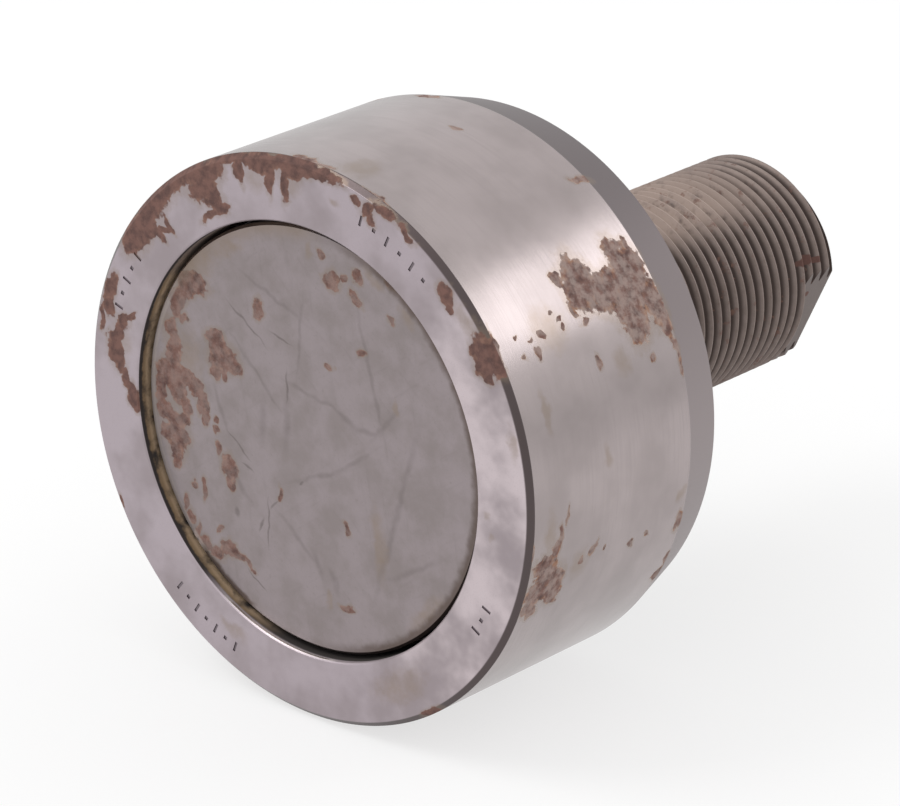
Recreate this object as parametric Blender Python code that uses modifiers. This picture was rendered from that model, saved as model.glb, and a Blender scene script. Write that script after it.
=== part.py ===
"""Stud-type cam follower: a thick outer ring runs on caged needles round the head of a threaded stud.

Every piece is modelled along its own +Z, which an empty lays along the world's +Y, the stud's way out.
Z = 0 is the plane where the rear flange rests on the machine; the ring lies below it, the stud above it.
Sizes are in metres.
"""

import math

import bmesh
import bpy
from mathutils import Matrix, Vector

# Outer ring
RING_DIAMETER = 0.062
RING_WIDTH = 0.032
RING_FRONT_CHAMFER = 0.0006
RING_TAPER_LENGTH = 0.0066
RING_TAPER_DROP = 0.0018
RING_RIM_WIDTH = 0.0071
RING_EDGE_BREAK = 0.0003

# Stud head, which is the plain disc in the front face
HEAD_SETBACK = 0.0012
HEAD_THICKNESS = 0.0045
HEAD_EDGE_BREAK = 0.0003
HEAD_GAP = 0.0005

# Needle bearing between the stud's race and the ring
NEEDLE_DIAMETER = 0.0038
NEEDLE_COUNT = 18
NEEDLE_CLEARANCE = 0.0001
CAGE_RACE_GAP = 0.0008
CAGE_END_WIDTH = 0.0014
CAGE_END_PLAY = 0.0003
POCKET_CLEARANCE = 0.0002

# Thrust washers and the pressed rear flange
WASHER_THICKNESS = 0.001
WASHER_PLAY = 0.0002
WASHER_BORE_CLEARANCE = 0.0003
WASHER_RIM_CLEARANCE = 0.0004
FLANGE_GAP = 0.0007
FLANGE_THICKNESS = 0.006
FLANGE_PROUD = 0.0008
FLANGE_EDGE_BREAK = 0.0005
FLANGE_SEAT_CLEARANCE = 0.0001

# Threaded stud, and the steps up from it to the flange's seat and the needles' race
THREAD_RADIUS = 0.012
FLANGE_SEAT_STEP = 0.0006
RACE_STEP = 0.0014
THREAD_PITCH = 0.0015
THREAD_DEPTH = 0.00092
THREAD_RELIEF_LENGTH = 0.0016
THREAD_RELIEF_DEPTH = 0.0013
STUD_LENGTH = 0.0426
STUD_END_CHAMFER = 0.0005
FLAT_LENGTH = 0.005
FLAT_DEPTH = 0.002
FLAT_ANGLE = math.radians(25.3)

# Grease way through the stud, and the nipple in its end
GREASE_BORE_RADIUS = 0.0017
GREASE_CROSS_RADIUS = 0.0012
NIPPLE_POCKET_DEPTH = 0.0042
NIPPLE_HEAD_RADIUS = 0.0033
NIPPLE_NOSE_RADIUS = 0.0022
NIPPLE_TIP_RADIUS = 0.00154
NIPPLE_WAIST_RADIUS = 0.00176
NIPPLE_NOSE_BEVEL = 0.0006
NIPPLE_HEAD_BEVEL = 0.0004
NIPPLE_SHANK_LENGTH = 0.005
NIPPLE_ROOM = 0.0009
NIPPLE_CLEARANCE = 0.0002

# Places along the axis and radii that follow from the sizes above
RING_REAR = -FLANGE_PROUD
RING_FRONT = RING_REAR - RING_WIDTH
HEAD_FRONT = RING_FRONT + HEAD_SETBACK
HEAD_REAR = HEAD_FRONT + HEAD_THICKNESS
FRONT_WASHER_FRONT = HEAD_REAR + WASHER_PLAY
FRONT_WASHER_REAR = FRONT_WASHER_FRONT + WASHER_THICKNESS
FRONT_SHOULDER = FRONT_WASHER_REAR + WASHER_PLAY
FLANGE_FRONT = -FLANGE_THICKNESS
RACE_END = FLANGE_FRONT - FLANGE_SEAT_CLEARANCE
REAR_WASHER_REAR = FLANGE_FRONT - WASHER_PLAY
REAR_WASHER_FRONT = REAR_WASHER_REAR - WASHER_THICKNESS
REAR_SHOULDER = REAR_WASHER_FRONT - WASHER_PLAY
RECESS_RADIUS = RING_DIAMETER / 2 - RING_RIM_WIDTH
HEAD_RADIUS = RECESS_RADIUS - HEAD_GAP
FLANGE_RADIUS = RECESS_RADIUS - FLANGE_GAP
FLANGE_SEAT_RADIUS = THREAD_RADIUS + FLANGE_SEAT_STEP
RACE_RADIUS = FLANGE_SEAT_RADIUS + RACE_STEP
WASHER_RADIUS = RECESS_RADIUS - WASHER_RIM_CLEARANCE
NEEDLE_RADIUS = NEEDLE_DIAMETER / 2
NEEDLE_CIRCLE = RACE_RADIUS + NEEDLE_CLEARANCE + NEEDLE_RADIUS
RACEWAY_RADIUS = NEEDLE_CIRCLE + NEEDLE_RADIUS + NEEDLE_CLEARANCE
CAGE_INNER = RACE_RADIUS + CAGE_RACE_GAP
CAGE_OUTER = RACEWAY_RADIUS - CAGE_RACE_GAP
CAGE_FRONT = FRONT_WASHER_REAR + CAGE_END_PLAY
CAGE_REAR = REAR_WASHER_FRONT - CAGE_END_PLAY
CAGE_MIDDLE = (CAGE_FRONT + CAGE_REAR) / 2
POCKET_LENGTH = CAGE_REAR - CAGE_FRONT - 2 * CAGE_END_WIDTH
NEEDLE_LENGTH = POCKET_LENGTH - 2 * POCKET_CLEARANCE
THREAD_START = THREAD_RELIEF_LENGTH
RELIEF_RADIUS = THREAD_RADIUS - THREAD_RELIEF_DEPTH
FLAT_DISTANCE = THREAD_RADIUS - FLAT_DEPTH
NIPPLE_POCKET_RADIUS = NIPPLE_HEAD_RADIUS + NIPPLE_ROOM

# Facets round each kind of piece
RING_FACETS = 96
WASHER_FACETS = 48
NEEDLE_FACETS = 16
THREAD_FACETS = 24
SMALL_FACETS = 20
CROSS_FACETS = 12

GROUND_STEEL = ((0.43, 0.40, 0.42, 1.0), 0.30, 1.0)
DULL_STEEL = ((0.27, 0.25, 0.24, 1.0), 0.45, 1.0)
BLACKENED_STEEL = ((0.13, 0.11, 0.10, 1.0), 0.50, 1.0)
NEEDLE_STEEL = ((0.55, 0.55, 0.56, 1.0), 0.15, 1.0)
CAGE_STEEL = ((0.32, 0.31, 0.30, 1.0), 0.40, 1.0)
POLYAMIDE = ((0.35, 0.22, 0.10, 1.0), 0.55, 0.0)
ZINC_PLATE = ((0.50, 0.47, 0.40, 1.0), 0.35, 1.0)


def clear_scene():
    for obj in list(bpy.data.objects):
        bpy.data.objects.remove(obj, do_unlink=True)


def make_collection(name):
    collection = bpy.data.collections.new(name)
    bpy.context.scene.collection.children.link(collection)
    return collection


def make_material(name, look):
    colour, roughness, metallic = look
    material = bpy.data.materials.new(name)
    material.use_nodes = True
    shader = material.node_tree.nodes["Principled BSDF"]
    shader.inputs["Base Color"].default_value = colour
    shader.inputs["Roughness"].default_value = roughness
    shader.inputs["Metallic"].default_value = metallic
    material.diffuse_color = colour
    return material


def add_object(name, mesh, collection, parent):
    obj = bpy.data.objects.new(name, mesh)
    collection.objects.link(obj)
    obj.parent = parent
    return obj


def turned(name, outline, facets, collection, parent, closed=False):
    """A turned piece. The outline is (radius, z) points, down the outer side; closed joins its ends round a bore."""
    mesh = bpy.data.meshes.new(name)
    points = [(radius, 0.0, z) for radius, z in outline]
    edges = [(i, i + 1) for i in range(len(points) - 1)]
    if closed:
        edges.append((len(points) - 1, 0))
    mesh.from_pydata(points, edges, [])
    obj = add_object(name, mesh, collection, parent)
    screw = obj.modifiers.new("Turn", "SCREW")
    screw.axis = "Z"
    screw.angle = math.tau
    screw.steps = facets
    screw.render_steps = facets
    screw.use_merge_vertices = True
    screw.merge_threshold = 0.00001
    return obj


def as_cutter(obj):
    obj.hide_render = True
    obj.display_type = "WIRE"
    return obj


def mesh_object(name, build, collection, parent):
    """An object whose mesh the function build fills through bmesh."""
    mesh = bpy.data.meshes.new(name)
    shape = bmesh.new()
    build(shape)
    shape.to_mesh(mesh)
    shape.free()
    return add_object(name, mesh, collection, parent)


def combine(obj, other, operation):
    boolean = obj.modifiers.new(other.name, "BOOLEAN")
    boolean.operation = operation
    boolean.object = other


def finish(obj, material):
    """Replaces the object's mesh by its evaluated one, smooth between sharp edges, in its material."""
    bpy.context.view_layer.update()
    graph = bpy.context.evaluated_depsgraph_get()
    mesh = bpy.data.meshes.new_from_object(obj.evaluated_get(graph))
    mesh.name = obj.name
    obj.modifiers.clear()
    obj.data = mesh
    mesh.shade_smooth()
    mesh.set_sharp_from_angle(angle=math.radians(30))
    mesh.materials.clear()
    mesh.materials.append(material)


def make_outer_ring(parts, axis):
    radius = RING_DIAMETER / 2
    outline = [
        (RECESS_RADIUS + RING_EDGE_BREAK, RING_REAR),
        (radius - RING_TAPER_DROP - RING_EDGE_BREAK, RING_REAR),
        (radius - RING_TAPER_DROP, RING_REAR - RING_EDGE_BREAK),
        (radius, RING_REAR - RING_TAPER_LENGTH),
        (radius, RING_FRONT + RING_FRONT_CHAMFER),
        (radius - RING_FRONT_CHAMFER, RING_FRONT),
        (RECESS_RADIUS + RING_EDGE_BREAK, RING_FRONT),
        (RECESS_RADIUS, RING_FRONT + RING_EDGE_BREAK),
        (RECESS_RADIUS, FRONT_SHOULDER),
        (RACEWAY_RADIUS + RING_EDGE_BREAK, FRONT_SHOULDER),
        (RACEWAY_RADIUS, FRONT_SHOULDER + RING_EDGE_BREAK),
        (RACEWAY_RADIUS, REAR_SHOULDER - RING_EDGE_BREAK),
        (RACEWAY_RADIUS + RING_EDGE_BREAK, REAR_SHOULDER),
        (RECESS_RADIUS, REAR_SHOULDER),
        (RECESS_RADIUS, RING_REAR - RING_EDGE_BREAK),
    ]
    ring = turned("outer_ring", outline, RING_FACETS, parts, axis, closed=True)
    finish(ring, make_material("ground_ring_steel", GROUND_STEEL))


def thread_outline():
    """One pitch of the thread: crest, root, next crest, going down so that the surface faces out."""
    root_radius = THREAD_RADIUS - THREAD_DEPTH
    return [(THREAD_RADIUS, THREAD_PITCH), (root_radius, THREAD_PITCH / 2), (THREAD_RADIUS, 0.0)]


def make_thread(cutters, axis):
    """A closed bar of thread, one turn longer than the stud at each end, to be cut to length."""
    turns = math.ceil((STUD_LENGTH - THREAD_START) / THREAD_PITCH) + 2
    mesh = bpy.data.meshes.new("thread")
    points = [(radius, 0.0, z) for radius, z in thread_outline()]
    mesh.from_pydata(points, [(0, 1), (1, 2)], [])
    thread = add_object("thread", mesh, cutters, axis)
    thread.location.z = THREAD_START - 1.5 * THREAD_PITCH
    screw = thread.modifiers.new("Thread", "SCREW")
    screw.axis = "Z"
    screw.angle = math.tau
    screw.screw_offset = THREAD_PITCH
    screw.iterations = turns
    screw.steps = THREAD_FACETS
    screw.render_steps = THREAD_FACETS
    screw.use_merge_vertices = True
    screw.merge_threshold = 0.00001
    bpy.context.view_layer.update()
    graph = bpy.context.evaluated_depsgraph_get()
    surface = bpy.data.meshes.new_from_object(thread.evaluated_get(graph))
    thread.modifiers.clear()
    shape = bmesh.new()
    shape.from_mesh(surface)
    bmesh.ops.remove_doubles(shape, verts=shape.verts, dist=0.00001)
    close_ends(shape)
    bmesh.ops.recalc_face_normals(shape, faces=shape.faces)
    shape.to_mesh(thread.data)
    shape.free()
    return as_cutter(thread)


def close_ends(shape):
    """Closes each open end of the thread with a fan of faces to a point on the axis."""
    loose = [edge for edge in shape.edges if edge.is_boundary]
    middle = sum(edge.verts[0].co.z for edge in loose) / len(loose)
    for upper in (False, True):
        rim = [edge for edge in loose if (edge.verts[0].co.z > middle) == upper]
        height = sum(edge.verts[0].co.z + edge.verts[1].co.z for edge in rim) / (2 * len(rim))
        centre = shape.verts.new(Vector((0.0, 0.0, height)))
        for edge in rim:
            shape.faces.new((edge.verts[0], edge.verts[1], centre))


def make_thread_limits(cutters, axis):
    """The envelope that cuts the bar of thread to the stud's length and chamfers its end."""
    clear = THREAD_RADIUS + THREAD_DEPTH
    outline = [
        (0.0, STUD_LENGTH),
        (THREAD_RADIUS - STUD_END_CHAMFER, STUD_LENGTH),
        (clear, STUD_LENGTH - STUD_END_CHAMFER - THREAD_DEPTH),
        (clear, THREAD_START),
        (0.0, THREAD_START),
    ]
    return as_cutter(turned("thread_limits", outline, WASHER_FACETS, cutters, axis))


def make_flat_cutter(name, angle, cutters, axis):
    """A block that mills one spanner flat at the stud's end; it faces the given angle round the axis."""
    depth = 2 * (THREAD_RADIUS - FLAT_DISTANCE)
    width = 3 * THREAD_RADIUS
    height = 2 * FLAT_LENGTH
    place = (
        Matrix.Rotation(angle, 4, "Z")
        @ Matrix.Translation((FLAT_DISTANCE + depth / 2, 0.0, STUD_LENGTH))
        @ Matrix.Diagonal((depth, width, height, 1.0))
    )

    def build(shape):
        bmesh.ops.create_cube(shape, size=1.0, matrix=place)

    return as_cutter(mesh_object(name, build, cutters, axis))


def make_grease_bore(cutters, axis):
    """The drilling along the axis, with the nipple's pocket at the stud's end."""
    outside = STUD_LENGTH + NIPPLE_POCKET_DEPTH
    outline = [
        (0.0, outside),
        (NIPPLE_POCKET_RADIUS, outside),
        (NIPPLE_POCKET_RADIUS, STUD_LENGTH - NIPPLE_POCKET_DEPTH),
        (GREASE_BORE_RADIUS, STUD_LENGTH - NIPPLE_POCKET_DEPTH),
        (GREASE_BORE_RADIUS, CAGE_MIDDLE),
        (0.0, CAGE_MIDDLE - GREASE_BORE_RADIUS),
    ]
    return as_cutter(turned("grease_bore", outline, SMALL_FACETS, cutters, axis))


def make_grease_cross(cutters, axis):
    """The cross drilling from the axis out to the race, between two needles."""
    length = 1.5 * RACE_RADIUS
    between_needles = math.pi / NEEDLE_COUNT
    place = (
        Matrix.Rotation(between_needles, 4, "Z")
        @ Matrix.Translation((length / 2, 0.0, CAGE_MIDDLE + GREASE_BORE_RADIUS))
        @ Matrix.Rotation(math.pi / 2, 4, "Y")
    )

    def build(shape):
        bmesh.ops.create_cone(
            shape,
            cap_ends=True,
            segments=CROSS_FACETS,
            radius1=GREASE_CROSS_RADIUS,
            radius2=GREASE_CROSS_RADIUS,
            depth=length,
            matrix=place,
        )

    return as_cutter(mesh_object("grease_cross", build, cutters, axis))


def make_stud(parts, cutters, axis):
    core_top = STUD_LENGTH - STUD_END_CHAMFER - THREAD_DEPTH
    outline = [
        (0.0, core_top),
        (RELIEF_RADIUS, core_top),
        (RELIEF_RADIUS, 0.0),
        (FLANGE_SEAT_RADIUS, 0.0),
        (FLANGE_SEAT_RADIUS, RACE_END),
        (RACE_RADIUS, RACE_END),
        (RACE_RADIUS, HEAD_REAR),
        (HEAD_RADIUS, HEAD_REAR),
        (HEAD_RADIUS, HEAD_FRONT + HEAD_EDGE_BREAK),
        (HEAD_RADIUS - HEAD_EDGE_BREAK, HEAD_FRONT),
        (0.0, HEAD_FRONT),
    ]
    stud = turned("stud", outline, WASHER_FACETS, parts, axis)
    thread = make_thread(cutters, axis)
    combine(thread, make_thread_limits(cutters, axis), "INTERSECT")
    combine(stud, thread, "UNION")
    for number, angle in enumerate((FLAT_ANGLE, FLAT_ANGLE + math.pi), start=1):
        combine(stud, make_flat_cutter(f"flat_cutter_{number}", angle, cutters, axis), "DIFFERENCE")
    combine(stud, make_grease_bore(cutters, axis), "DIFFERENCE")
    combine(stud, make_grease_cross(cutters, axis), "DIFFERENCE")
    finish(stud, make_material("stud_steel", DULL_STEEL))


def make_rear_flange(parts, axis):
    bore = FLANGE_SEAT_RADIUS + FLANGE_SEAT_CLEARANCE
    outline = [
        (FLANGE_RADIUS - FLANGE_EDGE_BREAK, 0.0),
        (FLANGE_RADIUS, -FLANGE_EDGE_BREAK),
        (FLANGE_RADIUS, FLANGE_FRONT),
        (bore, FLANGE_FRONT),
        (bore, 0.0),
    ]
    flange = turned("rear_flange", outline, WASHER_FACETS, parts, axis, closed=True)
    finish(flange, make_material("flange_steel", BLACKENED_STEEL))


def make_thrust_washer(name, front, material, parts, axis):
    bore = RACE_RADIUS + WASHER_BORE_CLEARANCE
    rear = front + WASHER_THICKNESS
    outline = [(WASHER_RADIUS, rear), (WASHER_RADIUS, front), (bore, front), (bore, rear)]
    washer = turned(name, outline, WASHER_FACETS, parts, axis, closed=True)
    finish(washer, material)


def make_cage(parts, cutters, axis):
    outline = [
        (CAGE_OUTER, CAGE_REAR),
        (CAGE_OUTER, CAGE_FRONT),
        (CAGE_INNER, CAGE_FRONT),
        (CAGE_INNER, CAGE_REAR),
    ]
    cage = turned("needle_cage", outline, 3 * NEEDLE_COUNT, parts, axis, closed=True)
    through = 1.5 * (CAGE_OUTER - CAGE_INNER)
    pocket = Vector((through, NEEDLE_DIAMETER + 2 * POCKET_CLEARANCE, POCKET_LENGTH))

    def build(shape):
        for number in range(NEEDLE_COUNT):
            place = needle_place(number) @ Matrix.Diagonal(pocket).to_4x4()
            bmesh.ops.create_cube(shape, size=1.0, matrix=place)

    combine(cage, as_cutter(mesh_object("cage_pockets", build, cutters, axis)), "DIFFERENCE")
    finish(cage, make_material("cage_steel", CAGE_STEEL))


def needle_place(number):
    angle = math.tau * number / NEEDLE_COUNT
    return Matrix.Rotation(angle, 4, "Z") @ Matrix.Translation((NEEDLE_CIRCLE, 0.0, CAGE_MIDDLE))


def make_needles(parts, axis):
    """Each needle has its origin on its own axis, at its middle."""
    material = make_material("needle_steel", NEEDLE_STEEL)

    def build(shape):
        bmesh.ops.create_cone(
            shape,
            cap_ends=True,
            segments=NEEDLE_FACETS,
            radius1=NEEDLE_RADIUS,
            radius2=NEEDLE_RADIUS,
            depth=NEEDLE_LENGTH,
        )

    first = mesh_object("needle_01", build, parts, axis)
    first.matrix_local = needle_place(0)
    finish(first, material)
    for number in range(1, NEEDLE_COUNT):
        needle = add_object(f"needle_{number + 1:02d}", first.data, parts, axis)
        needle.matrix_local = needle_place(number)


def make_grease_nipple(parts, axis):
    floor = STUD_LENGTH - NIPPLE_POCKET_DEPTH + NIPPLE_CLEARANCE
    shank = GREASE_BORE_RADIUS - NIPPLE_CLEARANCE
    top = STUD_LENGTH - NIPPLE_CLEARANCE
    waist = (floor + top) / 2
    outline = [
        (0.0, top),
        (NIPPLE_TIP_RADIUS, top),
        (NIPPLE_NOSE_RADIUS, top - NIPPLE_NOSE_BEVEL),
        (NIPPLE_WAIST_RADIUS, waist),
        (NIPPLE_HEAD_RADIUS, waist - NIPPLE_HEAD_BEVEL),
        (NIPPLE_HEAD_RADIUS, floor),
        (shank, floor),
        (shank, floor - NIPPLE_SHANK_LENGTH),
        (0.0, floor - NIPPLE_SHANK_LENGTH),
    ]
    nipple = turned("grease_nipple", outline, SMALL_FACETS, parts, axis)
    finish(nipple, make_material("nipple_zinc", ZINC_PLATE))


def main():
    clear_scene()
    parts = make_collection("cam_follower")
    cutters = make_collection("cutters")
    axis = bpy.data.objects.new("follower_axis", None)
    parts.objects.link(axis)
    axis.rotation_euler = (-math.pi / 2, 0.0, 0.0)
    make_outer_ring(parts, axis)
    make_stud(parts, cutters, axis)
    make_rear_flange(parts, axis)
    polyamide = make_material("washer_polyamide", POLYAMIDE)
    make_thrust_washer("thrust_washer_front", FRONT_WASHER_FRONT, polyamide, parts, axis)
    make_thrust_washer("thrust_washer_rear", REAR_WASHER_FRONT, polyamide, parts, axis)
    make_cage(parts, cutters, axis)
    make_needles(parts, axis)
    make_grease_nipple(parts, axis)


main()
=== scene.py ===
"""Looks of a stud-type cam follower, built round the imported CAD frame.

The axis is Y: the plain disc and the rim face -Y, the threaded stud leaves along +Y, and Z is up.
Angles round the axis run from +X towards +Z.
Sizes below are in millimetres and degrees unless they say metres.
"""

import math

import bmesh
import bpy
from mathutils import Matrix, Vector


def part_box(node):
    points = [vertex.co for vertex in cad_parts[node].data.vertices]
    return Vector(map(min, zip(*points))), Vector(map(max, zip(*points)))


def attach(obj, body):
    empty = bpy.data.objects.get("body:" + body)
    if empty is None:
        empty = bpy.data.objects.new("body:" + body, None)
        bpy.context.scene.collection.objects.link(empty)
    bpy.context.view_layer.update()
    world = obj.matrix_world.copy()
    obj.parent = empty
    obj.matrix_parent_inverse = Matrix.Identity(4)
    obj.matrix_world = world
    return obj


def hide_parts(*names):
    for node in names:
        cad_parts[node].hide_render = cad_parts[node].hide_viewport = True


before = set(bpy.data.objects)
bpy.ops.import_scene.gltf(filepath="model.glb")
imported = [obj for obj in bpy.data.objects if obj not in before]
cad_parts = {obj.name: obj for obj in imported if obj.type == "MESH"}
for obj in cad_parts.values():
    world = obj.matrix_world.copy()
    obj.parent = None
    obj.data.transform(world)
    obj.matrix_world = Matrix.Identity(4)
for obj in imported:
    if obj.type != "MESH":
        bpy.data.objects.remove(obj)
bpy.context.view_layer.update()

MM = 0.001

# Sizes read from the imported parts
ring_low, ring_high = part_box("outer_ring")
stud_low, stud_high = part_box("stud")
flange_low, flange_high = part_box("rear_flange")
nipple_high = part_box("grease_nipple")[1]
RING_RADIUS = ring_high.x / MM
RING_FRONT = ring_low.y / MM
RING_REAR = ring_high.y / MM
HEAD_RADIUS = stud_high.z / MM
HEAD_FRONT = stud_low.y / MM
STUD_END = stud_high.y / MM
FLANGE_RADIUS = flange_high.z / MM
FLANGE_FRONT = flange_low.y / MM
NIPPLE_RADIUS = nipple_high.z / MM
NIPPLE_TOP = nipple_high.y / MM

# Sizes that the boxes don't give, the same as in the CAD source
RECESS_RADIUS = 23.9
RACEWAY_RADIUS = 18.0
FRONT_CHAMFER = 0.6
TAPER_LENGTH = 6.6
TAPER_DROP = 1.8
FRONT_SHOULDER = -25.7
REAR_SHOULDER = -7.4
HEAD_REAR = -27.1
RACE_RADIUS = 14.0
SEAT_RADIUS = 12.6
SEAT_CLEARANCE = 0.1
THREAD_RADIUS = 12.0
THREAD_PITCH = 1.5
THREAD_DEPTH = 0.92
RELIEF_LENGTH = 1.6
RELIEF_RADIUS = 10.7
END_CHAMFER = 0.5
FLAT_DISTANCE = 10.0
FLAT_LENGTH = 5.0
FLAT_ANGLE = -25.3
POCKET_RADIUS = 4.2
POCKET_DEPTH = 4.2
GREASE_RADIUS = 1.7
NIPPLE_NOSE_RADIUS = 2.2
NIPPLE_TIP_RADIUS = 1.54
NIPPLE_WAIST_RADIUS = 1.76
NIPPLE_NOSE_BEVEL = 0.6
NIPPLE_HEAD_BEVEL = 0.4
NIPPLE_SHANK_LENGTH = 5.0
NIPPLE_CLEARANCE = 0.2

# Finer shapes that only the looks have
REAR_BORE_EDGE = 0.3
REAR_EDGE_WIDTH = 0.5
REAR_EDGE_DEPTH = 0.35
FRONT_BORE_EDGE = 0.18
HEAD_EDGE = 0.3
FLANGE_EDGE = 0.5
TREAD_INNER_RADIUS = 24.5
PUNCH_TICK = (1.2, 0.32)
PUNCH_DOT = (0.45, 0.45)
PUNCH_HEIGHT = 0.22
NIPPLE_MOUTH = [(0.0, 0.25), (0.35, 0.2), (0.55, 0.0)]
THREAD_STEPS = 120
# One pitch of the thread: share of the pitch, depth below the crest
THREAD_PROFILE = [
    (0.0, 0.0), (0.07, 0.0), (0.14, 0.10), (0.44, 0.86),
    (0.5, 0.92), (0.57, 0.92), (0.63, 0.86), (0.93, 0.10),
]

# How corners are rounded
ARC_STEPS = 4
NEARLY_STRAIGHT = math.radians(172)
LONGEST_REACH = 0.35
SUPPORT_SHARE = 0.25
TINY = 1e-6

# The photograph's camera and the studio, in metres, degrees and watts
CAMERA_AIM = (0.0038, -0.0140, -0.0001)
CAMERA_AZIMUTH = 41.30
CAMERA_ELEVATION = 21.98
CAMERA_DISTANCE = 0.5106
CAMERA_LENS_MM = 193.28
CAMERA_SENSOR_MM = 36.0
CAMERA_CLIP = 0.01
LAMP_AIM = (0, -0.016, 0)
FLOOR_HALF_SIZE = 3.0
FLOOR_GAP = 0.0002
BUMP_DISTANCE = 0.00005

# Rust on the front rim: angle, radius, half size round the rim, half size across it, turn
RIM_RUST = [
    (146, 29.6, 1.6, 1.2, 0), (142, 29.4, 2.2, 1.6, 0), (137, 29.8, 2.4, 1.5, 0),
    (132, 30.2, 2.6, 1.3, 0), (127, 30.4, 2.4, 1.1, 0), (121, 30.6, 2.6, 0.9, 0),
    (137.6, 27.4, 0.4, 1.2, 0), (133.2, 26.9, 0.4, 1.2, 0), (135.5, 27.0, 1.2, 0.35, 30),
    (139.5, 28.2, 1.2, 0.5, 0), (116.2, 29.6, 2.4, 0.9, 0), (117.8, 28.2, 2.0, 1.0, 0),
    (120.4, 28.4, 1.3, 1.1, 0), (116.8, 27.0, 1.4, 1.2, 0), (116.6, 26.0, 1.1, 0.9, 0),
    (120, 25.4, 1.4, 0.35, 0), (114.2, 25.6, 0.7, 0.6, 0), (110, 30.6, 3.0, 0.6, 0),
    (107, 29.2, 0.55, 1.5, 0), (98.5, 28.8, 0.6, 1.9, 0), (100.5, 30.2, 2.2, 1.0, 0),
    (103, 30.6, 1.6, 0.6, 0), (94, 28.3, 0.5, 1.9, 5), (92, 30.0, 1.8, 1.2, 0), (89, 30.4, 1.5, 1.0, 0),
    (84, 30.2, 2.2, 0.45, 0), (96, 30.4, 1.5, 0.8, 0), (74.8, 29.8, 0.8, 0.5, 0),
    (71, 29.4, 0.8, 1.0, 0), (69.8, 28.4, 0.5, 0.6, 0), (67.5, 30.4, 1.4, 0.5, 0),
    (60.8, 30.3, 1.2, 0.45, 0), (47.5, 29.2, 1.2, 0.7, 15), (45.2, 28.8, 0.7, 0.4, 0),
    (33.5, 29.6, 2.0, 1.2, 0), (35, 28.3, 0.8, 0.45, 0), (31.5, 29.0, 1.4, 1.0, 0),
    (28.5, 28.9, 0.7, 0.6, 0), (32, 30.8, 1.8, 0.8, 0), (159, 29.5, 1.7, 0.7, 0),
    (163.5, 29.1, 1.2, 0.6, 0), (167, 29.8, 1.2, 0.3, 0), (161.9, 25.9, 0.9, 0.3, 20),
    (164.5, 26.9, 1.0, 0.9, 0), (170, 28.3, 0.9, 0.7, 0), (174.6, 27.6, 1.0, 0.6, 0),
    (168, 27.2, 1.2, 0.8, 0), (172, 27.3, 1.1, 0.9, 0), (175, 26.6, 1.4, 0.7, 0),
    (178.5, 25.7, 1.4, 0.6, 0), (182, 24.9, 1.5, 0.7, 0), (185, 24.4, 1.0, 0.5, 0),
    (207, 30.2, 0.7, 0.2, 0), (305, 30.7, 1.4, 0.4, 0),
]
RIM_STAINS = [
    (300, 27.0, 4.0, 1.6, 0), (15, 29.5, 1.8, 0.5, 0), (358, 25.3, 0.6, 0.4, 0),
    (353, 26.0, 0.5, 0.4, 0), (102, 28.5, 2.4, 1.2, 0), (93, 28.5, 1.8, 1.2, 0),
    (247, 26.5, 2.0, 0.7, 0), (80, 28.2, 0.8, 0.4, 0), (170, 27.0, 3.5, 1.6, 0),
    (40, 29.5, 3.0, 0.8, 0),
]
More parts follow.
